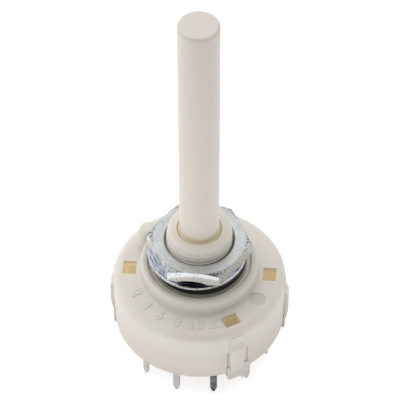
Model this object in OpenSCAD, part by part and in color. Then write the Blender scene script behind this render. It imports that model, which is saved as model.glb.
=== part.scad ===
// Rotary switch, one pole and twelve positions, with a threaded bush and a long plain spindle.
// The origin lies on the spindle axis in the plane of the mounting face, and +Z points to the knob end.

/* [Spindle] */
// Diameter of the knob end of the spindle
spindle_d = 6; // [4:0.1:6.4]
// Reach of the spindle above the mounting face
spindle_len = 49.5; // [15:0.5:70]
// Rounding of the spindle's end
spindle_edge = 0.45; // [0.1:0.05:0.9]
// Diameter of the spindle where it runs in the bush
journal_d = 6.5; // [6.4:0.05:6.9]

/* [Bush] */
// Pitch diameter of the bush thread, a 10 mm fine thread
bush_d = 9.5; // [9:0.1:10]
// Height of the bush above the mounting face
bush_h = 7.3; // [6:0.1:12]
// Height of the rounded lead-in at the bush's mouth
bush_edge = 0.45; // [0.1:0.05:0.8]
// Depth of the countersink round the spindle
mouth_depth = 0.35; // [0.1:0.05:0.8]

/* [Cover] */
// Outside diameter of the body
body_d = 26.4; // [26:0.1:30]
// Height of the lip above the face beside it
lip_h = 2.9; // [2.6:0.1:3.2]
// Width of the lip round the washer recess
lip_w = 1.15; // [0.8:0.05:1.4]
// Rounding of the face's outer edge
face_edge = 1.3; // [0.9:0.1:1.4]
// Height of the cover's side below the face
cover_side_h = 4.4; // [4:0.1:5.5]
// Thickness of the face
face_t = 1.2; // [0.8:0.1:1.4]
// Thickness of the side wall
wall_t = 1.2; // [1:0.1:1.4]
// Thickness of the recess floor
recess_floor_t = 1.4; // [1:0.1:1.8]

/* [Locating peg] */
// Diameter of the locating peg
peg_d = 3; // [2:0.1:3.2]
// Reach of the peg above the mounting face
peg_h = 1.3; // [0.9:0.1:2]
// Gap between the washer recess and the peg
peg_gap = 0.2; // [0.2:0.05:0.9]
// Direction of the peg
peg_angle = 146; // [134:1:158]

/* [Snap legs] */
// Width of a snap leg
leg_w = 3.1; // [2.6:0.1:3.4]
// Thickness of a snap leg's leaf
leaf_t = 0.9; // [0.7:0.05:1]
// Width of the rib up the leg
rib_w = 2.2; // [1.4:0.1:2.4]
// How far the rib stands out of the body
rib_out = 0.6; // [0.3:0.05:1]
// Width of the foot at the leg's end
foot_w = 3.7; // [3.5:0.1:4.4]
// Width of the hook under the base, and nearly that of its window
hook_w = 2.3; // [1.6:0.1:2.6]
// Reach of the hook under the base
hook_reach = 2.2; // [1.2:0.1:2.3]
// Length of the window above a hook
window_len = 2; // [1.2:0.05:2]
// Height of the hook
hook_h = 1.2; // [0.9:0.1:1.6]

/* [Base] */
// Height of the base
base_h = 5.2; // [5.2:0.1:7]
// Thickness of the base's floor
base_floor_t = 2; // [1.6:0.1:2.2]
// Step from the cover's wall in to the base's wall
seam_step = 0.08; // [0.02:0.02:0.2]

/* [Terminals] */
// Distance of the outer terminals in from the body's side
terminal_inset = 2.2; // [2.1:0.05:2.4]
// Direction of the first terminal
terminal_angle = 131; // [101:30:161]
// Width of a terminal's blade
blade_w = 1; // [0.7:0.05:1.2]
// Thickness of the terminal strip
strip_t = 0.4; // [0.3:0.05:0.5]
// Width of the contact pad at a terminal's inner end
pad_w = 1.8; // [1.4:0.1:2.4]
// Reach of the terminals below the base
pin_reach = 6.3; // [3:0.1:9]
// Distance of the common terminal in from the circle of outer terminals
common_inset = 4.6; // [4.3:0.1:4.7]

/* [Indexing] */
// Diameter of a detent ball
ball_d = 2.5; // [2:0.1:2.7]
// Inner radius of the detent ring at its crests
crest_radius = 8.1; // [8:0.05:8.3]
// Depth of a detent notch
notch_depth = 0.4; // [0.2:0.05:0.5]
// Wire of the detent spring
detent_wire = 0.3; // [0.2:0.05:0.4]
// Coils of the detent spring
detent_coils = 11; // [7:1:14]
// Width of the stop washer's tongue
tongue_w = 1.3; // [0.9:0.1:1.5]
// Radius of the stop washer's tongue
tongue_radius = 6.4; // [6.2:0.1:6.5]

/* [Contact bridge] */
// Width of the contact bridge
bridge_w = 2.2; // [1.6:0.1:2.6]
// Thickness of the contact bridge
bridge_t = 0.3; // [0.2:0.05:0.4]
// Lift of the bridge against its spring
bridge_lift = 0.3; // [0.1:0.05:0.35]
// Wire of the contact spring
contact_wire = 0.25; // [0.15:0.05:0.35]
// Coils of the contact spring
contact_coils = 4; // [3:1:5]

/* [Washers and nut] */
// How far the stop washer's edge stands out past the nut's flats
stop_over = 0.3; // [0:0.05:0.6]
// Gap round the stop washer in its recess
recess_gap = 0.6; // [0.45:0.05:0.8]
// Thickness of the stop washer
stop_t = 0.6; // [0.4:0.1:0.8]
// How far the sealing ring's edge lies in from the stop washer's
ring_inset = 0.15; // [0:0.05:0.6]
// Thickness of the sealing ring
ring_t = 1.6; // [0.8:0.1:2]
// How far the plain washer's edge stands out past the stop washer's
washer_over = 0.35; // [0:0.05:0.5]
// Thickness of the plain washer
washer_t = 0.6; // [0.4:0.1:1]
// How far the loose plain washer lies off centre
washer_slip = 0.35; // [0:0.05:0.35]
// Width of the nut across its flats
nut_af = 13.8; // [13:0.1:15]
// Height of the nut
nut_h = 2.6; // [1.8:0.1:3]
// Direction of a corner of the nut
nut_angle = 52.6; // [0:0.1:60]

/* [Clearances] */
// Radial running clearance of the spindle and the balls
running_gap = 0.05; // [0.02:0.01:0.08]
// Axial play of the rotor at each end
end_gap = 0.05; // [0.03:0.01:0.1]
// Gap between a ball and the crests, or between parts that pass each other
pass_gap = 0.1; // [0.08:0.01:0.15]
// Gap round a leg, a blade or a tongue in its slot
slot_gap = 0.15; // [0.05:0.01:0.2]
// Gap between a ball and the bottom of its notch, and between the stops
seat_gap = 0.03; // [0.02:0.01:0.05]

/* [Hidden] */
$fn = 128;
positions = 12;
step_angle = 360 / positions;
eps = 0.01;
arc_steps = 6;
small_round = 0.3;

bush_r = bush_d / 2;
journal_r = journal_d / 2;
bore_r = journal_r + running_gap;
spindle_r = spindle_d / 2;
journal_taper = 0.25;

// Heights of the cover, from the mounting face down
recess_z = -stop_t;
ceiling_z = recess_z - recess_floor_t;
face_z = -lip_h;
split_z = face_z - cover_side_h;
base_z = split_z - base_h;
floor_z = base_z + base_floor_t;
pad_top_z = floor_z + strip_t;
tip_z = base_z - pin_reach;

// Radii of the cover
body_r = body_d / 2;
wall_in_r = body_r - wall_t;
stop_r = nut_af / 2 + stop_over;
recess_r = stop_r + recess_gap;
lip_r = recess_r + lip_w;
lip_round = 0.55;
lip_fillet = 0.7;
ring_wall_t = 1.1;
ring_wall_r = crest_radius + notch_depth + ring_wall_t;
face_edge_r = body_r - face_edge;
peg_r = peg_d / 2;
peg_radius = recess_r + peg_gap + peg_r;
peg_round = 0.8;
mark_r = 1.25;
mark_depth = 0.08;
mark_radius = lip_r + mark_r + small_round / 2;
mark_angle = -32.3;

// Snap legs
leg_angles = [for (k = [0, 4, 6, 10]) terminal_angle - (k + 0.5) * step_angle];
leg_in_r = body_r - leaf_t;
rib_in_r = body_r - leaf_t / 2;
hook_in_r = leg_in_r - hook_reach;
window_back = 0.4;
window_in_r = hook_in_r - window_back;
window_side = 0.1;
foot_out = 0.15;
foot_rise = 1.6;
foot_h = hook_h + foot_rise;
foot_bottom_z = base_z - hook_h;
foot_top_z = foot_bottom_z + foot_h;
foot_taper = 0.2;
foot_slope = 0.5;
nub_w = 0.9;
nub_h = 0.8;
rib_round = 0.35;
rib_shift = 0.25;
rib_pad = 0.08;
rib_pad_h = 1.7;
rib_slope = 1;
rib_top_z = face_z - face_edge + small_round;
rib_z = rib_top_z - rib_pad_h;
rib_foot_slope = 2.2;
rib_foot_z = foot_top_z - 2.5 * foot_slope;
leg_top_z = split_z + wall_t / 2;

// Base
base_r = body_r - seam_step;
terminal_radius = body_r - terminal_inset;
common_radius = terminal_radius - common_inset;
land_t = 0.4;
base_in_r = terminal_radius + strip_t / 2 + land_t;
hub_r = 2.9;
pivot_r = 1.5;
pivot_recess = 0.6;
pivot_edge = 0.2;
foot_groove = 0.6;
foot_groove_in_r = common_radius + 1;
foot_groove_out_r = terminal_radius - 1.3;
track_groove_w = 0.6;
track_groove_depth = 0.3;

// Rotor
pad_gap = 0.5;
flange_t = 1.7;
flange_gap = 0.8;
flange_bottom_z = pad_top_z + pad_gap;
hub_top_z = flange_bottom_z - end_gap;
flange_r = terminal_radius - flange_gap;
flange_top_z = flange_bottom_z + flange_t;
detent_bottom_z = flange_top_z + small_round;
tongue_reach = 1;
tongue_z = ceiling_z - tongue_reach;
drum_gap = 0.25;
drum_top_z = tongue_z - 2 * pass_gap;
drum_r = crest_radius - drum_gap;
boss_w = 1.2;
boss_r = journal_r + boss_w;
ball_r = ball_d / 2;
ball_z = (drum_top_z + flange_top_z) / 2 + drum_gap;
notch_r = ball_r + drum_gap;
notch_bottom_r = crest_radius + notch_depth;
ball_rest_r = crest_radius - pass_gap - ball_r;
ball_bore_r = ball_r + running_gap;
detent_angle = terminal_angle + 90;

// Stop lug and tongue: together with their gaps they fill one step
tongue_in_r = tongue_radius - stop_t / 2;
tongue_angle = terminal_angle + 180 + step_angle / 2;
tongue_half = asin(tongue_w / 2 / tongue_in_r);
lug_half = step_angle / 2 - tongue_half - asin(seat_gap / tongue_in_r);
lug_over = 0.4;
lug_in_r = tongue_in_r - lug_over;
lug_out_r = tongue_radius + stop_t / 2 + lug_over;

// Contact bridge
dome_r = 0.5;
dome_edge = 0.3;
dome_in_gap = 1.45;
dome_out_gap = 2.1;
dome_in_radius = hub_r + dome_in_gap;
dome_out_radius = terminal_radius - dome_out_gap;
bridge_in_r = dome_in_radius - dome_r - dome_edge;
bridge_out_r = dome_out_radius + dome_r + dome_edge;
bridge_z = flange_bottom_z;
bridge_top_z = bridge_z + bridge_t;
slot_top_z = bridge_top_z + bridge_lift + pass_gap;
pocket_r = bridge_w / 2 + pass_gap;
pocket_radius = (dome_in_radius + dome_out_radius) / 2;
pocket_h = 1.5;
pocket_top_z = slot_top_z + pocket_h;
track_w = 0.9;
common_gap = 0.5;
common_in_r = hub_r + common_gap;
common_out_r = dome_in_radius + track_w;
pad_in_r = dome_out_radius - track_w;
blade_taper = 0.9;
blade_tip_w = blade_w * 0.45;
blade_bend = 0.25;
common_angle = terminal_angle - 180 - step_angle / 2;

// Stack on the bush
nut_bore_gap = 0.02;
thread_crest = 0.25;
ring_r = stop_r - ring_inset;
ring_round = 0.2;
washer_play = 0.4;
washer_r = stop_r + washer_over;
washer_bore_r = bush_r + thread_crest + washer_play;
washer_edge = 0.12;
washer_z = ring_t;
nut_z = washer_z + washer_t;
nut_mouth = 0.65;
nut_mouth_r = bush_r + nut_mouth;
nut_top_over = 0.15;
nut_foot_over = 0.1;

ivory = [0.90, 0.87, 0.80];
ivory_base = [0.89, 0.85, 0.79];
zinc = [0.76, 0.79, 0.78];
tin = [0.72, 0.72, 0.73];
brass = [0.80, 0.66, 0.38];

// Points of an arc, for an outline in the radius and height plane
function arc(r, z, size, from, to) =
    [for (i = [0:arc_steps]) let (a = from + (to - from) * i / arc_steps)
        [r + size * cos(a), z + size * sin(a)]];

// Flat ring
module ring(outer, inner, height) {
    difference() {
        cylinder(r = outer, h = height);
        translate([0, 0, -eps]) cylinder(r = inner, h = height + 2 * eps);
    }
}

// Bar along X whose two outer corners are rounded
module rounded_bar(x0, x1, y0, y1, round) {
    translate([x0, y0]) square([x1 - x0 - round, y1 - y0]);
    translate([x0, y0 + round]) square([x1 - x0, y1 - y0 - 2 * round]);
    for (y = [y0 + round, y1 - round]) translate([x1 - round, y]) circle(r = round, $fn = 32);
}

// Extrudes an outline of radius and height to a width across it
module across(y0, y1) {
    translate([0, y1, 0]) rotate([90, 0, 0]) linear_extrude(y1 - y0) children();
}

// ---------- cover: bush, lip, face, detent ring and snap legs in one moulding ----------

// Half section of the cover without its legs
module cover_section() {
    polygon(concat(
        [[bore_r, ceiling_z], [bore_r, bush_h - mouth_depth], [bore_r + mouth_depth / 2, bush_h]],
        arc(bush_r - bush_edge, bush_h - bush_edge, bush_edge, 90, 0),
        [[bush_r, recess_z], [recess_r, recess_z]],
        arc(recess_r + small_round, -small_round, small_round, 180, 90),
        arc(lip_r - lip_round, -lip_round, lip_round, 90, 0),
        arc(lip_r + lip_fillet, face_z + lip_fillet, lip_fillet, 180, 270),
        arc(face_edge_r, face_z - face_edge, face_edge, 90, 0),
        [[body_r, split_z], [wall_in_r, split_z],
         [wall_in_r, face_z - face_t], [ring_wall_r, face_z - face_t],
         [ring_wall_r, detent_bottom_z], [crest_radius, detent_bottom_z], [crest_radius, ceiling_z]]
    ));
}

// Twelve notches that the balls drop into
module detent_notches() {
    top = ball_z + ball_r + small_round;
    for (k = [0:positions - 1])
        rotate(terminal_angle + k * step_angle)
            translate([notch_bottom_r - notch_r, 0, detent_bottom_z - eps])
                cylinder(r = notch_r, h = top - detent_bottom_z);
}

// Twelve slots in the recess floor, any of which takes the stop washer's tongue
module stop_slots() {
    for (k = [0:positions - 1])
        rotate(tongue_angle + k * step_angle)
            translate([tongue_in_r - slot_gap, -tongue_w / 2 - slot_gap, ceiling_z - eps])
                cube([stop_t + 2 * slot_gap, tongue_w + 2 * slot_gap, recess_floor_t + 2 * eps]);
}

// Window through the face above a hook
module window() {
    translate([window_in_r, -hook_w / 2 - window_side, face_z - 2 * face_t])
        cube([window_len, hook_w + 2 * window_side, 3 * face_t]);
}

// Snap leg: a leaf with a rib and a wider foot outside, and a hook inside under the base
module snap_leg() {
    rib_y = -rib_w / 2 - rib_shift;
    rib_r = body_r + rib_out;
    foot_r = body_r + foot_out;
    // Leaf, flush with the base's wall
    intersection() {
        translate([0, 0, foot_bottom_z]) cylinder(r = base_r, h = leg_top_z - foot_bottom_z);
        translate([leg_in_r, -leg_w / 2, foot_bottom_z]) cube([wall_t, leg_w, leg_top_z - foot_bottom_z]);
    }
    // Rib: a low pad at its top, then sloped ends
    intersection() {
        across(rib_y, rib_y + rib_w) polygon([
            [rib_in_r, rib_top_z], [body_r, rib_top_z], [body_r + rib_pad, rib_top_z - rib_pad],
            [body_r + rib_pad, rib_z], [rib_r, rib_z - rib_slope],
            [rib_r, rib_foot_z + rib_foot_slope], [foot_r, rib_foot_z], [foot_r, foot_bottom_z],
            [rib_in_r, foot_bottom_z]]);
        translate([0, 0, foot_bottom_z]) linear_extrude(face_z - foot_bottom_z)
            rounded_bar(leg_in_r - leaf_t, rib_r, rib_y, rib_y + rib_w, rib_round);
    }
    // Foot, outside the base's wall and wider than the slot that the leaf lies in
    intersection() {
        translate([0, 0, foot_bottom_z]) ring(foot_r, body_r - seam_step / 2, foot_h);
        across(-foot_w, foot_w) polygon([[leg_in_r, foot_bottom_z], [leg_in_r, foot_top_z + foot_slope],
            [body_r, foot_top_z], [foot_r, foot_top_z - foot_slope], [foot_r, foot_bottom_z]]);
        rotate([90, 0, 90]) linear_extrude(2 * body_r) polygon([
            [-foot_w / 2 + foot_taper, foot_bottom_z], [-foot_w / 2, foot_top_z],
            [foot_w / 2, foot_top_z], [foot_w / 2 - foot_taper, foot_bottom_z]]);
    }
    // Nub at one corner of the foot
    intersection() {
        translate([0, 0, foot_bottom_z - nub_h]) ring(foot_r, leg_in_r + leaf_t / 2, nub_h + foot_taper);
        across(leg_w / 2 - nub_w, leg_w / 2) polygon([[leg_in_r, foot_bottom_z + foot_taper],
            [leg_in_r, foot_bottom_z], [leg_in_r + 2 * foot_taper, foot_bottom_z - nub_h],
            [body_r, foot_bottom_z - nub_h], [foot_r, foot_bottom_z],
            [foot_r, foot_bottom_z + foot_taper]]);
    }
    // Hook with a lead-in slope
    across(-hook_w / 2, hook_w / 2) polygon([
        [leg_in_r + leaf_t / 3, base_z], [hook_in_r, base_z], [hook_in_r, base_z - hook_h / 4],
        [hook_in_r + hook_reach / 2, foot_bottom_z], [leg_in_r + leaf_t / 3, foot_bottom_z]]);
}

// Locating peg with a rounded end
module locating_peg() {
    foot = face_z - face_t / 2;
    rotate(peg_angle) translate([peg_radius, 0, 0]) rotate_extrude()
        polygon(concat([[0, foot], [0, peg_h]],
            arc(peg_r - peg_round, peg_h - peg_round, peg_round, 90, 0), [[peg_r, foot]]));
}

// Shallow round ejector mark in the face
module ejector_mark() {
    rotate(mark_angle) translate([mark_radius, 0, face_z - mark_depth]) cylinder(r = mark_r, h = mark_r);
}

module cover() {
    color(ivory) difference() {
        union() {
            rotate_extrude() cover_section();
            for (a = leg_angles) rotate(a) snap_leg();
            locating_peg();
        }
        detent_notches();
        stop_slots();
        for (a = leg_angles) rotate(a) window();
        ejector_mark();
    }
}

// ---------- base: the terminal moulding ----------

module base_section() {
    rim = small_round;
    polygon(concat(
        [[pivot_r + running_gap, base_z + rim], [pivot_r + running_gap, hub_top_z],
         [hub_r, hub_top_z], [hub_r, floor_z], [base_in_r, floor_z],
         [base_in_r, split_z], [base_r, split_z]],
        arc(base_r - rim, base_z + rim, rim, 0, -90),
        [[foot_groove_out_r, base_z], [foot_groove_out_r, base_z + foot_groove],
         [foot_groove_in_r, base_z + foot_groove], [foot_groove_in_r, base_z],
         [pivot_r + pivot_recess, base_z]]
    ));
}

// Slot that a terminal's blade is pressed through
module blade_slot(radius) {
    gap = slot_gap / 3;
    translate([radius - strip_t / 2 - gap, -blade_w / 2 - gap, base_z - base_floor_t / 2])
        cube([strip_t + 2 * gap, blade_w + 2 * gap, 2 * base_floor_t]);
}

// Place in the wall for a snap leg
module leg_slot() {
    translate([leg_in_r - slot_gap, -leg_w / 2 - slot_gap, base_z - base_h / 2])
        cube([2 * wall_t, leg_w + 2 * slot_gap, 2 * base_h]);
}

// Grooves between the contact pads, which keep worn metal from bridging them
module track_grooves() {
    inner = common_out_r + track_w;
    for (k = [0:positions - 1])
        rotate(terminal_angle + (k + 0.5) * step_angle)
            translate([inner, -track_groove_w / 2, floor_z - track_groove_depth])
                cube([flange_r - inner, track_groove_w, 2 * track_groove_depth]);
}

module base() {
    color(ivory_base) difference() {
        rotate_extrude() base_section();
        for (k = [0:positions - 1]) rotate(terminal_angle - k * step_angle) blade_slot(terminal_radius);
        rotate(common_angle) blade_slot(common_radius);
        for (a = leg_angles) rotate(a) leg_slot();
        difference() {
            track_grooves();
            rotate(common_angle) translate([0, -pad_w / 2, base_z]) cube([foot_groove_in_r, pad_w, base_h]);
        }
    }
}

// ---------- spindle: the shaft and the rotor in one moulding ----------

module spindle_section() {
    polygon(concat(
        [[0, base_z + pivot_recess], [pivot_r - pivot_edge, base_z + pivot_recess],
         [pivot_r, base_z + pivot_recess + pivot_edge],
         [pivot_r, flange_bottom_z], [flange_r, flange_bottom_z], [flange_r, flange_top_z],
         [drum_r, flange_top_z], [drum_r, drum_top_z], [boss_r, drum_top_z],
         [boss_r, ceiling_z - end_gap], [journal_r, ceiling_z - end_gap],
         [journal_r, bush_h - journal_taper], [spindle_r, bush_h]],
        arc(spindle_r - spindle_edge, spindle_len - spindle_edge, spindle_edge, 0, 90),
        [[0, spindle_len]]
    ));
}

// Lug that meets the stop washer's tongue at both ends of the travel
module stop_lug() {
    reach = 2 * lug_out_r;
    bottom = drum_top_z - drum_gap;
    height = ceiling_z - 3 * pass_gap - bottom;
    rotate(terminal_angle + 180) translate([0, 0, bottom]) intersection() {
        ring(lug_out_r, lug_in_r, height);
        linear_extrude(height) polygon([[0, 0],
            [reach * cos(lug_half), -reach * sin(lug_half)], [reach * cos(lug_half), reach * sin(lug_half)]]);
    }
}

// Slot and spring pocket for the contact bridge
module bridge_pocket() {
    bottom = flange_bottom_z - pad_gap;
    translate([bridge_in_r - pass_gap, -bridge_w / 2 - pass_gap, bottom])
        cube([bridge_out_r - bridge_in_r + 2 * pass_gap, bridge_w + 2 * pass_gap, slot_top_z - bottom]);
    translate([pocket_radius, 0, flange_bottom_z])
        cylinder(r = pocket_r, h = pocket_top_z - flange_bottom_z);
}

module spindle() {
    color(ivory) difference() {
        union() {
            rotate_extrude() spindle_section();
            stop_lug();
        }
        rotate(detent_angle) translate([0, 0, ball_z]) rotate([0, 90, 0])
            cylinder(r = ball_bore_r, h = 3 * drum_r, center = true);
        rotate(terminal_angle) bridge_pocket();
    }
}

// ---------- detent: two balls with one spring between them ----------

module detent_ball(side) {
    color(zinc) rotate(detent_angle) translate([side * ball_rest_r, 0, ball_z]) sphere(r = ball_r);
}

module detent_ball_a() detent_ball(1);
module detent_ball_b() detent_ball(-1);

// Coil spring along Z from 0 to length, swept by a ring of wire points
module coil(length, mean_r, wire, turns) {
    per_turn = 16;
    sides = 6;
    rise = length - wire;
    rings = turns * per_turn;
    points = [for (i = [0:rings], j = [0:sides - 1])
        let (a = 360 * i / per_turn, b = 360 * j / sides, r = mean_r + wire / 2 * cos(b))
        [r * cos(a), r * sin(a), wire / 2 + rise * i / rings + wire / 2 * sin(b)]];
    walls = [for (i = [0:rings - 1], j = [0:sides - 1]) let (n = (j + 1) % sides)
        [i * sides + j, i * sides + n, (i + 1) * sides + n, (i + 1) * sides + j]];
    start = [for (j = [sides - 1:-1:0]) j];
    end = [for (j = [0:sides - 1]) rings * sides + j];
    polyhedron(points = points, faces = concat([start], walls, [end]), convexity = 8);
}

module detent_spring() {
    mean_r = ball_r * 0.68;
    seat = ball_rest_r - sqrt(ball_r * ball_r - mean_r * mean_r) - detent_wire / 2 - seat_gap;
    color(zinc) rotate(detent_angle) translate([-seat, 0, ball_z]) rotate([0, 90, 0])
        coil(2 * seat, mean_r, detent_wire, detent_coils);
}

// ---------- contacts ----------

// Bridge between the common ring and one pad, pressed down by its spring
module contact_bridge() {
    bottom = pad_top_z + seat_gap;
    color(brass) rotate(terminal_angle) {
        translate([bridge_in_r, -bridge_w / 2, bridge_z])
            cube([bridge_out_r - bridge_in_r, bridge_w, bridge_t]);
        for (r = [dome_in_radius, dome_out_radius]) translate([r, 0, bottom + dome_r]) {
            difference() {
                sphere(r = dome_r);
                translate([0, 0, bridge_t / 4]) cylinder(r = 2 * dome_r, h = 2 * dome_r);
            }
            cylinder(r = dome_r, h = bridge_z - bottom - dome_r + bridge_t / 2);
        }
    }
}

module contact_spring() {
    mean_r = pocket_r - slot_gap - contact_wire / 2;
    color(zinc) rotate(terminal_angle) translate([pocket_radius, 0, bridge_top_z + seat_gap])
        coil(pocket_top_z - bridge_top_z - 2 * seat_gap, mean_r, contact_wire, contact_coils);
}

// Outline of a blade seen along the radius: straight, then tapered to a rounded tip
module blade_outline() {
    round = blade_tip_w / 2;
    polygon([[-blade_w / 2, pad_top_z], [-blade_w / 2, tip_z + blade_taper], [-round, tip_z + round],
        [round, tip_z + round], [blade_w / 2, tip_z + blade_taper], [blade_w / 2, pad_top_z]]);
    translate([0, tip_z + round]) circle(r = round, $fn = 32);
}

// Blade of strip, bent over at its top to meet a pad that comes from the axis
module blade(radius) {
    out = radius + strip_t / 2;
    intersection() {
        across(-blade_w, blade_w) polygon(concat(
            [[out - 2 * strip_t, floor_z], [out - strip_t, floor_z], [out - strip_t, tip_z],
             [out, tip_z]], arc(out - blade_bend, pad_top_z - blade_bend, blade_bend, 0, 90),
            [[out - 2 * strip_t, pad_top_z]]));
        rotate([90, 0, 90]) linear_extrude(2 * radius) blade_outline();
    }
}

module terminal(number) {
    color(tin) rotate(terminal_angle - (number - 1) * step_angle) {
        blade(terminal_radius);
        translate([pad_in_r, -pad_w / 2, floor_z])
            cube([terminal_radius - strip_t - pad_in_r, pad_w, strip_t]);
    }
}

module terminal_01() terminal(1);
module terminal_02() terminal(2);
module terminal_03() terminal(3);
module terminal_04() terminal(4);
module terminal_05() terminal(5);
module terminal_06() terminal(6);
module terminal_07() terminal(7);
module terminal_08() terminal(8);
module terminal_09() terminal(9);
module terminal_10() terminal(10);
module terminal_11() terminal(11);
module terminal_12() terminal(12);

module common_terminal() {
    color(tin) {
        translate([0, 0, floor_z]) ring(common_out_r, common_in_r, strip_t);
        rotate(common_angle) {
            blade(common_radius);
            translate([common_out_r - track_w, -pad_w / 2, floor_z])
                cube([common_radius - strip_t - common_out_r + track_w, pad_w, strip_t]);
        }
    }
}

// ---------- washers and nut on the bush ----------

module stop_washer() {
    color(zinc) {
        translate([0, 0, -stop_t]) ring(stop_r, bush_r + pass_gap, stop_t);
        rotate(tongue_angle) translate([tongue_in_r, -tongue_w / 2, tongue_z])
            cube([stop_t, tongue_w, -stop_t / 2 - tongue_z]);
    }
}

module sealing_ring() {
    mid_r = ring_r - ring_round;
    color([0.07, 0.07, 0.08]) rotate_extrude() polygon(concat(
        [[bush_r + pass_gap, 0]], arc(mid_r, ring_round, ring_round, -90, 0),
        arc(mid_r, ring_t - ring_round, ring_round, 0, 90), [[bush_r + pass_gap, ring_t]]));
}

module plain_washer() {
    edge = washer_edge;
    color([0.86, 0.87, 0.89]) translate([-washer_slip, 0, washer_z]) rotate_extrude() polygon([
        [washer_bore_r, 0], [washer_r - edge, 0], [washer_r, edge], [washer_r, washer_t - edge],
        [washer_r - edge, washer_t], [washer_bore_r, washer_t]]);
}

// Hexagon nut, chamfered well on top, a little below, and round both ends of its hole
module hex_nut() {
    corner_r = nut_af / 2 / cos(30);
    bore = bush_r + nut_bore_gap;
    mouth = nut_mouth_r;
    top_r = nut_af / 2 + nut_top_over;
    foot_r = nut_af / 2 + nut_foot_over;
    reach = corner_r + small_round;
    top_drop = (reach - top_r) * tan(30);
    foot_drop = (reach - foot_r) * tan(30);
    color(zinc) translate([0, 0, nut_z]) intersection() {
        rotate(nut_angle) cylinder(r = corner_r, h = nut_h, $fn = 6);
        rotate_extrude() polygon([
            [bore, mouth - bore], [mouth, 0], [foot_r, 0], [reach, foot_drop],
            [reach, nut_h - top_drop], [top_r, nut_h], [mouth, nut_h],
            [bore, nut_h - mouth + bore]]);
    }
}

cover();
base();
spindle();
detent_ball_a();
detent_ball_b();
detent_spring();
contact_bridge();
contact_spring();
common_terminal();
terminal_01();
terminal_02();
terminal_03();
terminal_04();
terminal_05();
terminal_06();
terminal_07();
terminal_08();
terminal_09();
terminal_10();
terminal_11();
terminal_12();
stop_washer();
sealing_ring();
plain_washer();
hex_nut();
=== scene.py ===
import math

import bmesh
import bpy
from mathutils import Matrix, Vector


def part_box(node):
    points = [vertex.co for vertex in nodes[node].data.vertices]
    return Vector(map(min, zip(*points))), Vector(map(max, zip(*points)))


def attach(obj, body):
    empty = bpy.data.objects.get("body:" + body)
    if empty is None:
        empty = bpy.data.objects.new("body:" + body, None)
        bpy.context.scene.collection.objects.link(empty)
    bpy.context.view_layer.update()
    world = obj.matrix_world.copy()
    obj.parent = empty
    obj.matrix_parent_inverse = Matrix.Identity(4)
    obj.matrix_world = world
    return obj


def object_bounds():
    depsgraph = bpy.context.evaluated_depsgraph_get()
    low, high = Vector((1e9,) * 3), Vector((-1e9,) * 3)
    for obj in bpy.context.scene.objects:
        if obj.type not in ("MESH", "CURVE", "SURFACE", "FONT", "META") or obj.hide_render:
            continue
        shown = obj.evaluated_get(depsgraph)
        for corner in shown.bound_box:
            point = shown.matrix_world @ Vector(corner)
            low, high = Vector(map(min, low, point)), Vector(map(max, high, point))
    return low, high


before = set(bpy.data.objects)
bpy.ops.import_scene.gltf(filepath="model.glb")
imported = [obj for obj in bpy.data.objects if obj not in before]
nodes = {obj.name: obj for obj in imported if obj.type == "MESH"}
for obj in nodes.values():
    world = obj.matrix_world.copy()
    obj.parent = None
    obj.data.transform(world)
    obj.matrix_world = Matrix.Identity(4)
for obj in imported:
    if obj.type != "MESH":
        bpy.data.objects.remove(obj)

cad_low, cad_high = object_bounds()
scene = bpy.context.scene
mm = 0.001

# ---------------------------------------------------------------------------
# Studio: the switch stands on its pins on white paper in a white room, with one
# soft lamp and three glowing boards. A long lens looks down on it from the front.
# ---------------------------------------------------------------------------
scene.view_settings.view_transform = "Standard"

view_elevation = math.radians(48.72)
view_roll = math.radians(-0.18)
view_distance = 340.4 * mm
view_target = Vector((0.11, 0.0, 13.5)) * mm
view_back = Vector((0.0, -math.cos(view_elevation), math.sin(view_elevation)))

camera = bpy.data.objects.new("camera", bpy.data.cameras.new("camera"))
scene.collection.objects.link(camera)
camera.data.sensor_width = 36.0
camera.data.lens = 208.0
camera.data.clip_start = 0.01
camera.data.clip_end = 10.0
look = view_back.to_track_quat("Z", "Y").to_matrix().to_4x4() @ Matrix.Rotation(view_roll, 4, "Z")
camera.matrix_world = Matrix.Translation(view_target + view_back * view_distance) @ look
scene.camera = camera


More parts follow.
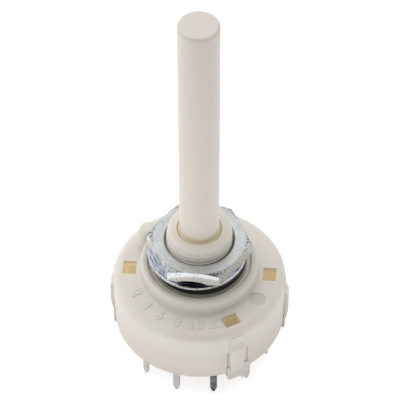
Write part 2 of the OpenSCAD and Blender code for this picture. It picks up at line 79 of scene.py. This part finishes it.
class Shading:
    """A material's or the world's nodes, added and wired one by one."""

    def __init__(self, owner):
        owner.use_nodes = True
        self.owner = owner
        self.tree = owner.node_tree
        self.tree.nodes.clear()

    def add(self, kind, settings=None, **sockets):
        """Adds a node, sets its properties, and wires or sets its sockets by name."""
        node = self.tree.nodes.new("ShaderNode" + kind)
        for key, value in (settings or {}).items():
            setattr(node, key, value)
        for key, value in sockets.items():
            self.put(node, key.replace("_", " "), value)
        return node

    def put(self, node, socket, value):
        """Wires another node's output, or writes a constant, into a socket."""
        target = node.inputs[socket]
        if isinstance(value, bpy.types.Node):
            value = next(out for out in value.outputs if out.enabled)
        if isinstance(value, bpy.types.NodeSocket):
            self.tree.links.new(value, target)
        else:
            target.default_value = value

    def calc(self, operation, first, second=0.0, third=0.0):
        """One Math node."""
        node = self.tree.nodes.new("ShaderNodeMath")
        node.operation = operation
        for index, value in enumerate((first, second, third)):
            self.put(node, index, value)
        return node.outputs[0]

    def along(self, place, way):
        """How far a place or a direction, given as a vector output, reaches along a fixed way."""
        node = self.add("VectorMath", {"operation": "DOT_PRODUCT"})
        self.put(node, 0, place)
        self.put(node, 1, way)
        return node.outputs["Value"]

    def ramp(self, value, low, high, start=0.0, stop=1.0, smooth=True):
        """Runs from start to stop while the value goes from low to high."""
        node = self.add("MapRange", {"interpolation_type": "SMOOTHSTEP" if smooth else "LINEAR"})
        for socket, entry in zip(("Value", "From Min", "From Max", "To Min", "To Max"),
                                 (value, low, high, start, stop)):
            self.put(node, socket, entry)
        return node.outputs["Result"]

    def blend(self, factor, first, second):
        """Mixes two colours."""
        node = self.tree.nodes.new("ShaderNodeMix")
        node.data_type = "RGBA"
        for index, value in ((0, factor), (6, first), (7, second)):
            if isinstance(value, tuple) and len(value) == 3:
                value = (*value, 1.0)
            self.put(node, index, value)
        return node.outputs[2]


# White paper. The camera and shiny metal see it white, and it still takes the switch's shadow.
seen_glow = 0.60
mirrored_glow = 0.18
paper = Shading(bpy.data.materials.new("white_paper"))
rays = paper.add("LightPath")
mirrored_in = paper.calc("MAXIMUM", rays.outputs["Is Glossy Ray"], rays.outputs["Is Transmission Ray"])
looked_at = paper.calc("MAXIMUM", paper.calc("MULTIPLY", rays.outputs["Is Camera Ray"], seen_glow),
                       paper.calc("MULTIPLY", mirrored_in, mirrored_glow))
paper_sheet = paper.add("BsdfDiffuse", Color=(0.82, 0.82, 0.82, 1.0))
paper_glow = paper.add("Emission", Color=(1.0, 1.0, 1.0, 1.0), Strength=looked_at)
paper_both = paper.add("AddShader")
paper.put(paper_both, 0, paper_sheet)
paper.put(paper_both, 1, paper_glow)
paper.add("OutputMaterial", Surface=paper_both)

floor_mesh = bpy.data.meshes.new("floor")
sheet = bmesh.new()
bmesh.ops.create_grid(sheet, x_segments=1, y_segments=1, size=1.5)
bmesh.ops.translate(sheet, verts=sheet.verts, vec=(0.0, 0.0, cad_low.z))
sheet.to_mesh(floor_mesh)
sheet.free()
floor = bpy.data.objects.new("floor", floor_mesh)
scene.collection.objects.link(floor)
floor.data.materials.append(paper.owner)

# White room, with the dark patch of the camera and its stand for the metal to mirror.
patch_inside = math.radians(27.0)
patch_outside = math.radians(38.0)
room = Shading(bpy.data.worlds.new("studio"))
scene.world = room.owner
room_rays = room.add("LightPath")
room_way = room.add("TexCoord")
toward_camera = room.along(room_way.outputs["Generated"], view_back)
mirror_level = room.ramp(toward_camera, math.cos(patch_outside), math.cos(patch_inside), 1.0, 0.0)
mirrored = room.calc("MULTIPLY", room_rays.outputs["Is Glossy Ray"], mirror_level)
seen = room.calc("MAXIMUM", room_rays.outputs["Is Camera Ray"], room_rays.outputs["Is Transmission Ray"])

# The room's own light is strongest from the upper left behind the switch, and weak from low in front.
key_turn = math.radians(120.0)
key_rise = math.radians(50.0)
weakest_light = 0.09
strongest_light = 1.47
key_way = Vector((math.cos(key_turn) * math.cos(key_rise), math.sin(key_turn) * math.cos(key_rise),
                  math.sin(key_rise)))
toward_key = room.along(room_way.outputs["Generated"], key_way)
key_level = room.ramp(toward_key, -0.4, 1.0, weakest_light, strongest_light, smooth=False)
lit = room.calc("MULTIPLY", key_level, room.calc("SUBTRACT", 1.0, room_rays.outputs["Is Glossy Ray"]))
room_level = room.calc("MAXIMUM", seen, room.calc("MAXIMUM", mirrored, lit))
room_glow = room.add("Background", Color=(1.0, 1.0, 1.0, 1.0), Strength=room_level)
room.add("OutputWorld", Surface=room_glow)


def soft_lamp(name, place, facing, width, height, power):
    """Rectangular soft lamp at a place in metres that faces along a direction."""
    lamp = bpy.data.lights.new(name, "AREA")
    lamp.shape = "RECTANGLE"
    lamp.size = width
    lamp.size_y = height
    lamp.energy = power
    holder = bpy.data.objects.new(name, lamp)
    scene.collection.objects.link(holder)
    holder.location = place
    holder.rotation_mode = "QUATERNION"
    holder.rotation_quaternion = (-Vector(facing)).to_track_quat("Z", "Y")
    return holder


soft_lamp("left_softbox", place=(-0.38, 0.10, 0.36), facing=(0.38, -0.10, -0.36), width=0.30, height=0.30,
          power=0.09)

# Glowing boards of a light table: they lie on the paper in front of the switch and on both sides.
table = cad_low.z + 0.5 * mm
for name, place, width, depth, power in (("front_board", (0.0, -0.060, table), 0.26, 0.08, 0.047),
                                         ("right_board", (0.095, 0.0, table), 0.14, 0.20, 0.046),
                                         ("left_board", (-0.095, 0.0, table), 0.14, 0.20, 0.040)):
    board = soft_lamp(name, place, (0.0, 0.0, 1.0), width, depth, power)
    board.visible_camera = False
    board.visible_glossy = False

# ---------------------------------------------------------------------------
# Base: round cup of off-white polyester that holds all the terminals. It is
# injection moulded, satin and slightly translucent, and a little pinker than the cover.
# ---------------------------------------------------------------------------
base_low, base_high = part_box("base")
cover_low, cover_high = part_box("cover")
body_radius = (cover_high.y - cover_low.y) / 2
base_ivory = (0.70, 0.645, 0.585)
# Grey of the painted shade at the spindle's end and on the lip.
painted_shade_ivory = (0.625, 0.60, 0.56)

# Painted light: an ochre tint and a glow on the inside stand in for light that soaks through the walls,
# most at the back on the left.
painted_light_ochre = (0.72, 0.61, 0.40)
window_glow = (0.76, 0.70, 0.50)
glow_way = (-0.35, 0.94, 0.0)
glow_front = -11.5 * mm
glow_back = 3.2 * mm
front_share = 0.56
back_share = 1.22


def radius_of(shading, place):
    """Distance from the spindle axis at a point of the piece, and the point's height."""
    parts = shading.add("SeparateXYZ")
    shading.put(parts, 0, place.outputs["Object"])
    across = shading.calc("MULTIPLY", parts.outputs["X"], parts.outputs["X"])
    total = shading.calc("MULTIPLY_ADD", parts.outputs["Y"], parts.outputs["Y"], across)
    return shading.calc("SQRT", total), parts.outputs["Z"]


def moulded(name, colour, inner=None, inner_glow=0.22, edge=0.10, mark=None, painted_shade=None):
    """Satin moulding, cloudy and finely grained, with soft edges.

    inner says where an ochre tint and glow are painted, standing in for light through the walls; the
    shade mask says where grey shade is painted; mark is the ejector's place and radius.
    """
    shading = Shading(bpy.data.materials.new(name))
    place = shading.add("TexCoord")
    cloud = shading.add("TexNoise", Vector=place.outputs["Object"], Scale=170.0, Detail=3.0)
    pale = tuple(min(1.0, part * 1.035) for part in colour)
    deep = (colour[0] * 0.965, colour[1] * 0.96, colour[2] * 0.945)
    tint = shading.blend(cloud.outputs[0], deep, pale)
    shader = shading.add("BsdfPrincipled", IOR=1.5)
    if mark:
        mark_place, mark_radius = mark
        spot = shading.add("VectorMath", {"operation": "DISTANCE"})
        shading.put(spot, 0, place.outputs["Object"])
        shading.put(spot, 1, mark_place)
        pressed = shading.ramp(spot.outputs["Value"], mark_radius - 0.12 * mm, mark_radius + 0.02 * mm,
                               1.0, 0.0)
        tint = shading.blend(pressed, tint, tuple(part * 0.84 for part in colour))
    # Painted shade: greyer where the shade mask says.
    if painted_shade:
        tint = shading.blend(painted_shade(shading, *radius_of(shading, place)), tint, painted_shade_ivory)
    # Painted light through the walls: the ochre tint, and a glow that is stronger at the back on the
    # left.
    if inner:
        depth = inner(shading, *radius_of(shading, place))
        tint = shading.blend(depth, tint, painted_light_ochre)
        lit_side = shading.ramp(shading.along(place.outputs["Object"], glow_way), glow_front, glow_back,
                                front_share * inner_glow, back_share * inner_glow, smooth=False)
        shading.put(shader, "Emission Color", (*window_glow, 1.0))
        shading.put(shader, "Emission Strength", shading.calc("MULTIPLY", depth, lit_side))
    shading.put(shader, "Base Color", tint)
    shading.put(shader, "Roughness", shading.ramp(cloud.outputs[0], 0.25, 0.75, 0.36, 0.50))
    shader.inputs["Subsurface Weight"].default_value = 0.30
    shader.inputs["Subsurface Radius"].default_value = (1.0, 0.82, 0.55)
    shader.inputs["Subsurface Scale"].default_value = 1.0 * mm
    grain = shading.add("TexNoise", Vector=place.outputs["Object"], Scale=5200.0, Detail=2.0)
    rounding = shading.add("Bevel", {"samples": 6}, Radius=edge * mm)
    skin = shading.add("Bump", Strength=0.25, Distance=0.006 * mm, Height=grain.outputs[0],
                       Normal=rounding)
    shading.put(shader, "Normal", skin)
    shading.add("OutputMaterial", Surface=shader)
    return shading.owner


def dress(node, material):
    """Puts a material on a CAD node that stays as it is."""
    mesh = nodes[node].data
    mesh.materials.clear()
    mesh.materials.append(material)


def inside_base(shading, reach, height):
    """Mask of the painted ochre light: 1 on the cup's inner surfaces and in the slots of the snap legs,
    more near its top, 0 outside.
    """
    within = shading.ramp(reach, body_radius - 0.35 * mm, body_radius - 0.15 * mm, 1.0, 0.0)
    above = shading.ramp(height, base_low.z + 0.7 * mm, base_low.z + 1.1 * mm)
    brighter = shading.ramp(height, base_high.z - 6.0 * mm, base_high.z - 3.0 * mm, 1.0, 1.5)
    return shading.calc("MULTIPLY", shading.calc("MULTIPLY", within, above), brighter)


base_plastic = moulded("ivory_base", base_ivory, inside_base, inner_glow=0.17)
dress("base", base_plastic)


def raised_number(text, size, height, place, right, up):
    """Moulded number: its middle lies at the place, and it reads along right with its top towards up."""
    curve = bpy.data.curves.new("number", "FONT")
    curve.body = text
    curve.size = size
    curve.extrude = height / 2
    curve.bevel_depth = height / 2
    curve.bevel_resolution = 1
    curve.offset = size * 0.03
    curve.align_x = "CENTER"
    curve.align_y = "CENTER"
    curve.resolution_u = 3
    stand_in = bpy.data.objects.new("number", curve)
    mesh = bpy.data.meshes.new_from_object(stand_in)
    facing = right.cross(up)
    turn = Matrix((right, up, facing)).transposed().to_4x4()
    mesh.transform(Matrix.Translation(place) @ turn)
    bpy.data.objects.remove(stand_in)
    bpy.data.curves.remove(curve)
    return mesh


def ring_of_numbers(name, texts, ring, level, first_turn, turn_step, top_way, size, height,
                    material):
    """All the numbers round one moulding, as one piece: their tops point outward (1) or inward (-1)."""
    joined = bmesh.new()
    for index, text in enumerate(texts):
        turn = first_turn + index * turn_step
        outward = Vector((math.cos(turn), math.sin(turn), 0.0))
        along = Vector((-math.sin(turn), math.cos(turn), 0.0))
        spot = outward * ring + Vector((0.0, 0.0, level))
        mesh = raised_number(text, size, height, spot, along, outward * top_way)
        joined.from_mesh(mesh)
        bpy.data.meshes.remove(mesh)
    bmesh.ops.remove_doubles(joined, verts=joined.verts, dist=0.001 * mm)
    bmesh.ops.recalc_face_normals(joined, faces=joined.faces)
    whole = bpy.data.meshes.new(name)
    joined.to_mesh(whole)
    joined.free()
    piece = bpy.data.objects.new(name, whole)
    scene.collection.objects.link(piece)
    piece.data.materials.append(material)
    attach(piece, "body")


# Position numbers on the underside, one inward of each outer terminal, in the shallow ring groove.
positions = 12
first_low, first_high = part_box("terminal_01")
first_pin = (first_low + first_high) / 2
first_turn = math.atan2(first_pin.y, first_pin.x)
groove_top = base_low.z + 0.6 * mm
ring_of_numbers("base_numbers", [str(index + 1) for index in range(positions)],
                ring=8.70 * mm, level=groove_top, first_turn=first_turn,
                turn_step=-2.0 * math.pi / positions, top_way=1, size=2.0 * mm, height=0.16 * mm,
                material=base_plastic)

# ---------------------------------------------------------------------------
# Terminals: twelve outer pins and the common one, blanked from brass strip,
# tin plated and pressed into the base. The one at the front is darker and duller, with dark specks.
# ---------------------------------------------------------------------------
tin_grey = (0.82, 0.82, 0.82)
tin_stain = (0.62, 0.62, 0.63)
dull_tin = (0.34, 0.34, 0.34)
darker_tin_deep = (0.05, 0.05, 0.052)


def plated(name, colour, stain, roughness, speck=0.15, scale=900.0, edge=0.05, bump=0.25, metal=1.0):
    """Plated metal: two tones in patches, small dark specks, uneven gloss and softened edges."""
    shading = Shading(bpy.data.materials.new(name))
    place = shading.add("TexCoord")
    patches = shading.add("TexNoise", Vector=place.outputs["Object"], Scale=scale, Detail=5.0,
                          Roughness=0.6)
    wide = shading.add("TexNoise", Vector=place.outputs["Object"], Scale=scale / 5.0, Detail=2.0)
    specks = shading.add("TexVoronoi", Vector=place.outputs["Object"], Scale=scale * 1.6)
    fine_tone = shading.ramp(patches.outputs[0], 0.38, 0.66)
    wide_tone = shading.ramp(wide.outputs[0], 0.35, 0.65)
    tone = shading.calc("MULTIPLY_ADD", wide_tone, 0.4, shading.calc("MULTIPLY", fine_tone, 0.6))
    tint = shading.blend(tone, stain, colour)
    dark = shading.calc("MULTIPLY", shading.ramp(specks.outputs["Distance"], 0.05, 0.22, 1.0, 0.0), speck)
    tint = shading.blend(dark, tint, tuple(part * 0.15 for part in stain))
    rounding = shading.add("Bevel", {"samples": 6}, Radius=edge * mm)
    skin = shading.add("Bump", Strength=bump, Distance=0.01 * mm, Height=patches.outputs[0],
                       Normal=rounding)
    gloss = shading.ramp(patches.outputs[0], 0.3, 0.7, roughness + 0.08, roughness)
    shader = shading.add("BsdfPrincipled", Metallic=metal, Base_Color=tint, Normal=skin, Roughness=gloss)
    shading.add("OutputMaterial", Surface=shader)
    return shading.owner


tinned = plated("tinned_brass", tin_grey, tin_stain, 0.30)
darker_tinned = plated("dull_tinned_brass", dull_tin, darker_tin_deep, 0.40, speck=0.7, scale=1500.0, bump=0.6)
for index in range(positions):
    dress(f"terminal_{index + 1:02d}", tinned)
dress("terminal_08", darker_tinned)
dress("common_terminal", tinned)

# ---------------------------------------------------------------------------
# Spindle and rotor: one moulding of the same polyester, plain and round, with a
# faint painted ochre shade and glow where it goes down into the bush, and painted grey shade at its end.
# ---------------------------------------------------------------------------
spindle_ivory = (0.722, 0.664, 0.609)
spindle_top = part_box("spindle")[1].z
bush_top = cover_high.z


def inside_bush(shading, reach, height):
    """Painted ochre shade and glow of light bounced from the bush: fades from ochre just below the bush's
    mouth to nothing a little above it.
    """
    below = shading.ramp(height, bush_top - 4.0 * mm, bush_top - 2.0 * mm)
    fading = shading.ramp(height, bush_top - 0.2 * mm, bush_top + 1.7 * mm, 0.58, 0.0)
    return shading.calc("MULTIPLY", below, fading)


def end_face(shading, reach, height):
    """Painted shade: rises towards the spindle's end, which is painted greyer."""
    return shading.ramp(height, spindle_top - 0.9 * mm, spindle_top - 0.1 * mm, 0.0, 0.42)


dress("spindle", moulded("ivory_spindle", spindle_ivory, inside_bush, inner_glow=0.04, edge=0.25,
                         painted_shade=end_face))

# ---------------------------------------------------------------------------
# Indexing: two hardened steel balls, pushed out into the cover's notches by one
# coil spring of steel wire that lies in a cross bore of the rotor.
# ---------------------------------------------------------------------------
wire_grey = (0.52, 0.53, 0.55)
wire_shade = (0.36, 0.36, 0.37)
ball_grey = (0.72, 0.73, 0.75)
ball_shade = (0.62, 0.62, 0.64)
spring_wire = plated("spring_steel", wire_grey, wire_shade, 0.22, scale=2500.0, edge=0.02)
polished = plated("ball_steel", ball_grey, ball_shade, 0.07, speck=0.05, bump=0.05)
dress("detent_ball_a", polished)
dress("detent_ball_b", polished)
dress("detent_spring", spring_wire)

# ---------------------------------------------------------------------------
# Contact bridge: a strip of spring brass with two domes, pressed on the common
# ring and on one pad by its own small coil spring in the rotor.
# ---------------------------------------------------------------------------
brass_yellow = (0.78, 0.60, 0.30)
brass_shade = (0.62, 0.46, 0.22)
dress("contact_bridge", plated("contact_brass", brass_yellow, brass_shade, 0.28, scale=1800.0))
dress("contact_spring", spring_wire)

# ---------------------------------------------------------------------------
# Cover: bush, lip, face and four snap legs in one off-white moulding. It is
# pressed over the base until its hooks catch under the rim.
# ---------------------------------------------------------------------------
cover_ivory = (0.71, 0.672, 0.615)
lip_radius = 8.95 * mm
recess_radius = 7.8 * mm
mouth_radius = 3.5 * mm
face_height = -2.9 * mm
rounding_size = 1.3 * mm
rounding_start = body_radius - rounding_size
ejector_turn = math.radians(-32.3)
ejector_reach = 10.35 * mm
ejector_radius = 1.25 * mm
ejector_place = Vector((math.cos(ejector_turn), math.sin(ejector_turn), 0.0)) * ejector_reach
ejector_place.z = face_height


def inside_cover(shading, reach, height):
    """Mask of the painted ochre light: 1 on the walls below the face and in the windows, less in the
    bush's mouth and on the recess wall, 0 on the outside.
    """
    past = shading.calc("MAXIMUM", shading.calc("SUBTRACT", reach, rounding_start), 0.0)
    squared = shading.calc("MULTIPLY_ADD", shading.calc("MULTIPLY", past, past), -1.0, rounding_size ** 2)
    level = shading.calc("SQRT", shading.calc("MAXIMUM", squared, 0.0))
    drop = shading.calc("SUBTRACT", rounding_size, level)
    depth = shading.calc("SUBTRACT", face_height, shading.calc("ADD", height, drop))
    below = shading.ramp(depth, 0.0, 0.7 * mm)
    within = shading.ramp(reach, body_radius - 0.35 * mm, body_radius - 0.10 * mm, 1.0, 0.0)
    beyond_lip = shading.ramp(reach, lip_radius, lip_radius + 0.2 * mm)
    above = shading.ramp(height, base_low.z - 0.3 * mm, base_low.z + 0.1 * mm)
    window = shading.calc("MULTIPLY", shading.calc("MULTIPLY", below, within),
                          shading.calc("MULTIPLY", beyond_lip, above))
    # Painted ochre light also goes into the bush's mouth and, faintly, onto the recess wall.
    mouth = shading.ramp(reach, mouth_radius - 0.05 * mm, mouth_radius + 0.30 * mm, 0.40, 0.0)
    in_recess = shading.ramp(reach, recess_radius + 0.02 * mm, recess_radius + 0.12 * mm, 1.0, 0.0)
    recess = shading.calc("MULTIPLY", in_recess, shading.ramp(height, -0.05 * mm, 0.05 * mm, 0.16, 0.0))
    return shading.calc("MAXIMUM", window, shading.calc("MAXIMUM", mouth, recess))


def on_lip(shading, reach, height):
    """Painted shade and a painted grey reflection: rises up the lip's wall towards its top, which is
    painted a little greyer.
    """
    outside_recess = shading.ramp(reach, lip_radius - 1.3 * mm, lip_radius - 1.0 * mm)
    short_of_peg = shading.ramp(reach, lip_radius + 0.02 * mm, lip_radius + 0.10 * mm, 1.0, 0.0)
    up = shading.ramp(height, face_height + 0.3 * mm, face_height + 1.7 * mm, 0.0, 0.7)
    return shading.calc("MULTIPLY", shading.calc("MULTIPLY", outside_recess, up), short_of_peg)


cover_plastic = moulded("ivory_cover", cover_ivory, inside_cover, mark=(ejector_place, ejector_radius),
                        painted_shade=on_lip)
dress("cover", cover_plastic)

# Thread of the bush: a fine ridge of 0.75 mm pitch that runs out below the smooth lead-in.
thread_pitch = 0.75 * mm
thread_root = 4.70 * mm
thread_crest = 4.97 * mm
thread_bottom = 0.15 * mm
thread_top = 6.15 * mm
half_root = 0.30 * mm
half_crest = 0.05 * mm
thread_steps = 48
thread_turns = round((thread_top - thread_bottom) / thread_pitch)
step_turn = 2.0 * math.pi / thread_steps
step_rise = thread_pitch / thread_steps

ridge = bmesh.new()
corners = [ridge.verts.new(point) for point in (
    (thread_root, 0.0, thread_bottom - half_root), (thread_crest, 0.0, thread_bottom - half_crest),
    (thread_crest, 0.0, thread_bottom + half_crest), (thread_root, 0.0, thread_bottom + half_root))]
outline = [ridge.edges.new((corners[i], corners[(i + 1) % 4])) for i in range(4)]
bmesh.ops.contextual_create(ridge, geom=outline)
swept = bmesh.ops.spin(ridge, geom=outline, cent=(0.0, 0.0, 0.0), axis=(0.0, 0.0, 1.0),
                       dvec=(0.0, 0.0, step_rise), angle=2.0 * math.pi * thread_turns,
                       steps=thread_steps * thread_turns, use_duplicate=False)

# The ridge sinks into the bush over its last steps, and its end is closed.
fade_steps = 10
shrink = 1.0 - 0.22 * mm / thread_crest / fade_steps
tail = [item for item in swept["geom_last"] if isinstance(item, bmesh.types.BMEdge)]
for index in range(fade_steps):
    grown = bmesh.ops.extrude_edge_only(ridge, edges=tail)["geom"]
    tail = [item for item in grown if isinstance(item, bmesh.types.BMEdge)]
    tail_points = [item for item in grown if isinstance(item, bmesh.types.BMVert)]
    bmesh.ops.rotate(ridge, verts=tail_points, cent=(0.0, 0.0, 0.0),
                     matrix=Matrix.Rotation(step_turn, 3, "Z"))
    bmesh.ops.translate(ridge, verts=tail_points, vec=(0.0, 0.0, step_rise))
    bmesh.ops.scale(ridge, verts=tail_points, vec=(shrink, shrink, 1.0))
bmesh.ops.contextual_create(ridge, geom=tail)
bmesh.ops.recalc_face_normals(ridge, faces=ridge.faces)
ridge_mesh = bpy.data.meshes.new("bush_thread")
ridge.to_mesh(ridge_mesh)
ridge.free()
bush_thread = bpy.data.objects.new("bush_thread", ridge_mesh)
scene.collection.objects.link(bush_thread)
bush_thread.data.materials.append(cover_plastic)
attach(bush_thread, "body")

# Plain numbers of every second position, raised on the face at the front left.
row = ("2", "4", "6", "8", "10", "12")
row_start = math.radians(-156.0)
row_end = math.radians(-78.0)
ring_of_numbers("face_numbers", row, ring=10.55 * mm, level=face_height, first_turn=row_start,
                turn_step=(row_end - row_start) / (len(row) - 1), top_way=-1, size=2.35 * mm,
                height=0.09 * mm, material=cover_plastic)

# ---------------------------------------------------------------------------
# Stop washer: stamped steel in the recess of the cover, zinc plated and dull.
# Its tongue goes into one of the twelve slots and sets the number of ways.
# ---------------------------------------------------------------------------
dull_zinc = (0.41, 0.40, 0.355)
dull_zinc_shade = (0.31, 0.30, 0.265)
dress("stop_washer", plated("zinc_washer", dull_zinc, dull_zinc_shade, 0.40, metal=0.30))

# ---------------------------------------------------------------------------
# Sealing ring: black rubber, moulded, between the stop washer and the panel.
# It is almost matte, with a faint cloudy bloom.
# ---------------------------------------------------------------------------
rubber_black = (0.006, 0.006, 0.007)
rubber_bloom = (0.016, 0.016, 0.017)
rubber = Shading(bpy.data.materials.new("black_rubber"))
rubber_place = rubber.add("TexCoord")
rubber_cloud = rubber.add("TexNoise", Vector=rubber_place.outputs["Object"], Scale=900.0, Detail=4.0)
rubber_tint = rubber.blend(rubber_cloud.outputs[0], rubber_black, rubber_bloom)
rubber_skin = rubber.add("Bump", Strength=0.3, Distance=0.01 * mm, Height=rubber_cloud.outputs[0])
rubber_shader = rubber.add("BsdfPrincipled", Base_Color=rubber_tint, Normal=rubber_skin,
                           Specular_IOR_Level=0.18)
rubber.put(rubber_shader, "Roughness", rubber.ramp(rubber_cloud.outputs[0], 0.3, 0.7, 0.45, 0.65))
rubber.add("OutputMaterial", Surface=rubber_shader)
dress("sealing_ring", rubber.owner)

# ---------------------------------------------------------------------------
# Plain washer: blanked from bright plated steel, with fine dark upright lines round
# its edge and a painted reflection on its ledge. It lies loose on the ring, a little off centre.
# ---------------------------------------------------------------------------
rim_steel = (0.86, 0.88, 0.92)
rim_line_dark = (0.20, 0.20, 0.24)
ledge_reflection_deep = (0.46, 0.48, 0.56)
ledge_reflection_pale = (0.64, 0.66, 0.74)
ledge_streak = (0.14, 0.14, 0.20)

washer = Shading(bpy.data.materials.new("bright_washer"))
washer_place = washer.add("TexCoord")
washer_parts = washer.add("SeparateXYZ")
washer.put(washer_parts, 0, washer_place.outputs["Object"])
washer_turn = washer.calc("ARCTAN2", washer_parts.outputs["Y"], washer_parts.outputs["X"])
washer_reach = radius_of(washer, washer_place)[0]

# The rim has fine dark upright lines.
washer_lines = washer.add("TexNoise", {"noise_dimensions": "1D"}, Scale=1.0, Detail=3.0,
                          W=washer.calc("MULTIPLY", washer_turn, 28.0))
lined = washer.ramp(washer_lines.outputs[0], 0.38, 0.52, 0.75, 0.0)
rim_tint = washer.blend(lined, rim_steel, rim_line_dark)

# Painted reflection: the ledge beside the nut is painted darker and bluish, cloudy, with dark streaks
# that run round it.
washer_cloud = washer.add("TexNoise", Vector=washer_place.outputs["Object"], Scale=350.0, Detail=3.0)
ledge_reflection_tint = washer.blend(washer.ramp(washer_cloud.outputs[0], 0.35, 0.65), ledge_reflection_deep, ledge_reflection_pale)
washer_streaks = washer.add("TexNoise", {"noise_dimensions": "2D"}, Scale=1.0, Detail=2.0)
streak_place = washer.add("CombineXYZ", X=washer.calc("MULTIPLY", washer_reach, 4500.0),
                          Y=washer.calc("MULTIPLY", washer_turn, 7.0))
washer.put(washer_streaks, "Vector", streak_place)
streaked = washer.ramp(washer_streaks.outputs[0], 0.36, 0.50, 0.75, 0.0)
ledge_reflection_tint = washer.blend(streaked, ledge_reflection_tint, ledge_streak)

# Painted reflection on the upward faces: they take the ledge's darker tint, the sides the bright rim's.
washer_facing = washer.add("SeparateXYZ")
washer.put(washer_facing, 0, washer.add("NewGeometry").outputs["True Normal"])
washer_tint = washer.blend(washer.ramp(washer_facing.outputs["Z"], 0.5, 0.9), rim_tint, ledge_reflection_tint)
washer_edge = washer.add("Bevel", {"samples": 6}, Radius=0.08 * mm)
washer_skin = washer.add("Bump", Strength=0.2, Distance=0.01 * mm, Height=washer_lines.outputs[0],
                         Normal=washer_edge)
washer_shader = washer.add("BsdfPrincipled", Metallic=1.0, Base_Color=washer_tint, Roughness=0.06,
                           Normal=washer_skin)
washer.add("OutputMaterial", Surface=washer_shader)
dress("plain_washer", washer.owner)

# ---------------------------------------------------------------------------
# Nut: hexagon steel, zinc plated, screwed down on the washer. Its top is mottled, with dark specks and
# painted shade at the corners and painted shade in the mouth; its facets are bright, with a painted line
# of shade at the foot, and one is duller and greyer.
# ---------------------------------------------------------------------------
nut_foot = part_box("hex_nut")[0].z
nut_mouth = 5.40 * mm
nut_flat = 6.90 * mm
chamfer_ring = 6.75 * mm
dull_facet_turn = math.radians(-37.4)
matte_deep = (0.60, 0.62, 0.625)
matte_pale = (0.69, 0.71, 0.72)
facet_deep = (0.83, 0.86, 0.885)
facet_pale = (0.91, 0.935, 0.95)
dull_facet_deep = (0.43, 0.44, 0.40)
dull_facet_pale = (0.64, 0.66, 0.62)
top_grain = (0.25, 0.26, 0.25)
speck_and_shade_grey = (0.12, 0.12, 0.12)
facet_speck = (0.20, 0.22, 0.22)
foot_shade_colour = (0.10, 0.11, 0.17)
mouth_shade_olive = (0.52, 0.50, 0.40)

nut = Shading(bpy.data.materials.new("zinc_nut"))
nut_place = nut.add("TexCoord")
nut_reach, nut_height = radius_of(nut, nut_place)
nut_facing = nut.add("SeparateXYZ")
nut.put(nut_facing, 0, nut.add("NewGeometry").outputs["True Normal"])
upward = nut.ramp(nut_facing.outputs["Z"], 0.15, 0.35)
nut_cloud = nut.add("TexNoise", Vector=nut_place.outputs["Object"], Scale=700.0, Detail=4.0,
                    Roughness=0.6)
nut_grain = nut.add("TexNoise", Vector=nut_place.outputs["Object"], Scale=4200.0, Detail=2.0)
nut_pits = nut.add("TexVoronoi", Vector=nut_place.outputs["Object"], Scale=800.0, Randomness=1.0)
mottled = nut.ramp(nut_cloud.outputs[0], 0.35, 0.65)

# Top and chamfers: fine dark grain, dark specks and painted shade at the corners, a few pits, and painted
# olive shade in the mouth.
matte_tint = nut.blend(mottled, matte_deep, matte_pale)
matte_tint = nut.blend(nut.ramp(nut_grain.outputs[0], 0.30, 0.55, 0.30, 0.0), matte_tint, top_grain)
# Painted shade along the chamfer's edge at the corners, broken into dark specks.
at_corners = nut.ramp(nut_reach, chamfer_ring, chamfer_ring + 0.5 * mm, 0.0, 0.90)
corner_specks_and_shade = nut.calc("MULTIPLY", nut.ramp(nut_grain.outputs[0], 0.46, 0.56), at_corners)
matte_tint = nut.blend(corner_specks_and_shade, matte_tint, speck_and_shade_grey)
pitted = nut.calc("MULTIPLY", nut.ramp(nut_pits.outputs["Distance"], 0.08, 0.22, 0.55, 0.0),
                  nut.ramp(nut_cloud.outputs[0], 0.50, 0.62))
matte_tint = nut.blend(pitted, matte_tint, speck_and_shade_grey)
# Painted shade: an olive ring at the mouth, where the nut meets the bush.
in_mouth = nut.ramp(nut_reach, nut_mouth - 0.06 * mm, nut_mouth, 1.0, 0.0)
matte_tint = nut.blend(in_mouth, matte_tint, mouth_shade_olive)

# Facets: small dark specks, a painted dark line of shade at the foot, and the duller, greyer one at the
# front right.
facet_tint = nut.blend(mottled, facet_deep, facet_pale)
facet_tint = nut.blend(nut.ramp(nut_grain.outputs[0], 0.56, 0.64, 0.0, 0.45), facet_tint, facet_speck)
# Painted shade: a dark line along the foot of the facets, above the washer.
foot_shade_band = nut.ramp(nut_height, nut_foot + 0.10 * mm, nut_foot + 0.30 * mm, 0.50, 0.0)
facet_tint = nut.blend(foot_shade_band, facet_tint, foot_shade_colour)
toward_dull_facet = nut.along(nut_place.outputs["Object"],
                          (math.cos(dull_facet_turn), math.sin(dull_facet_turn), 0.0))
dull_facet = nut.ramp(toward_dull_facet, nut_flat - 0.25 * mm, nut_flat - 0.10 * mm)
dull_facet_tint = nut.blend(nut.ramp(nut_grain.outputs[0], 0.40, 0.60), dull_facet_deep, dull_facet_pale)
dull_facet_above = nut.calc("MULTIPLY", dull_facet, nut.calc("SUBTRACT", 1.0, foot_shade_band))
facet_tint = nut.blend(dull_facet_above, facet_tint, dull_facet_tint)

nut_edge = nut.add("Bevel", {"samples": 6}, Radius=0.06 * mm)
nut_bump = nut.add("Bump", Strength=nut.ramp(upward, 0.0, 1.0, 0.03, 0.45), Distance=0.008 * mm,
                   Height=nut_grain.outputs[0], Normal=nut_edge)
nut_shader = nut.add("BsdfPrincipled", Metallic=1.0, Normal=nut_bump,
                     Base_Color=nut.blend(upward, facet_tint, matte_tint))
matte_gloss = nut.ramp(nut_reach, chamfer_ring, chamfer_ring + 0.9 * mm, 0.42, 0.24)
facet_gloss = nut.ramp(dull_facet, 0.0, 1.0, 0.06, 0.38)
nut.put(nut_shader, "Roughness", nut.ramp(upward, 0.0, 1.0, facet_gloss, matte_gloss))
nut.add("OutputMaterial", Surface=nut_shader)
dress("hex_nut", nut.owner)
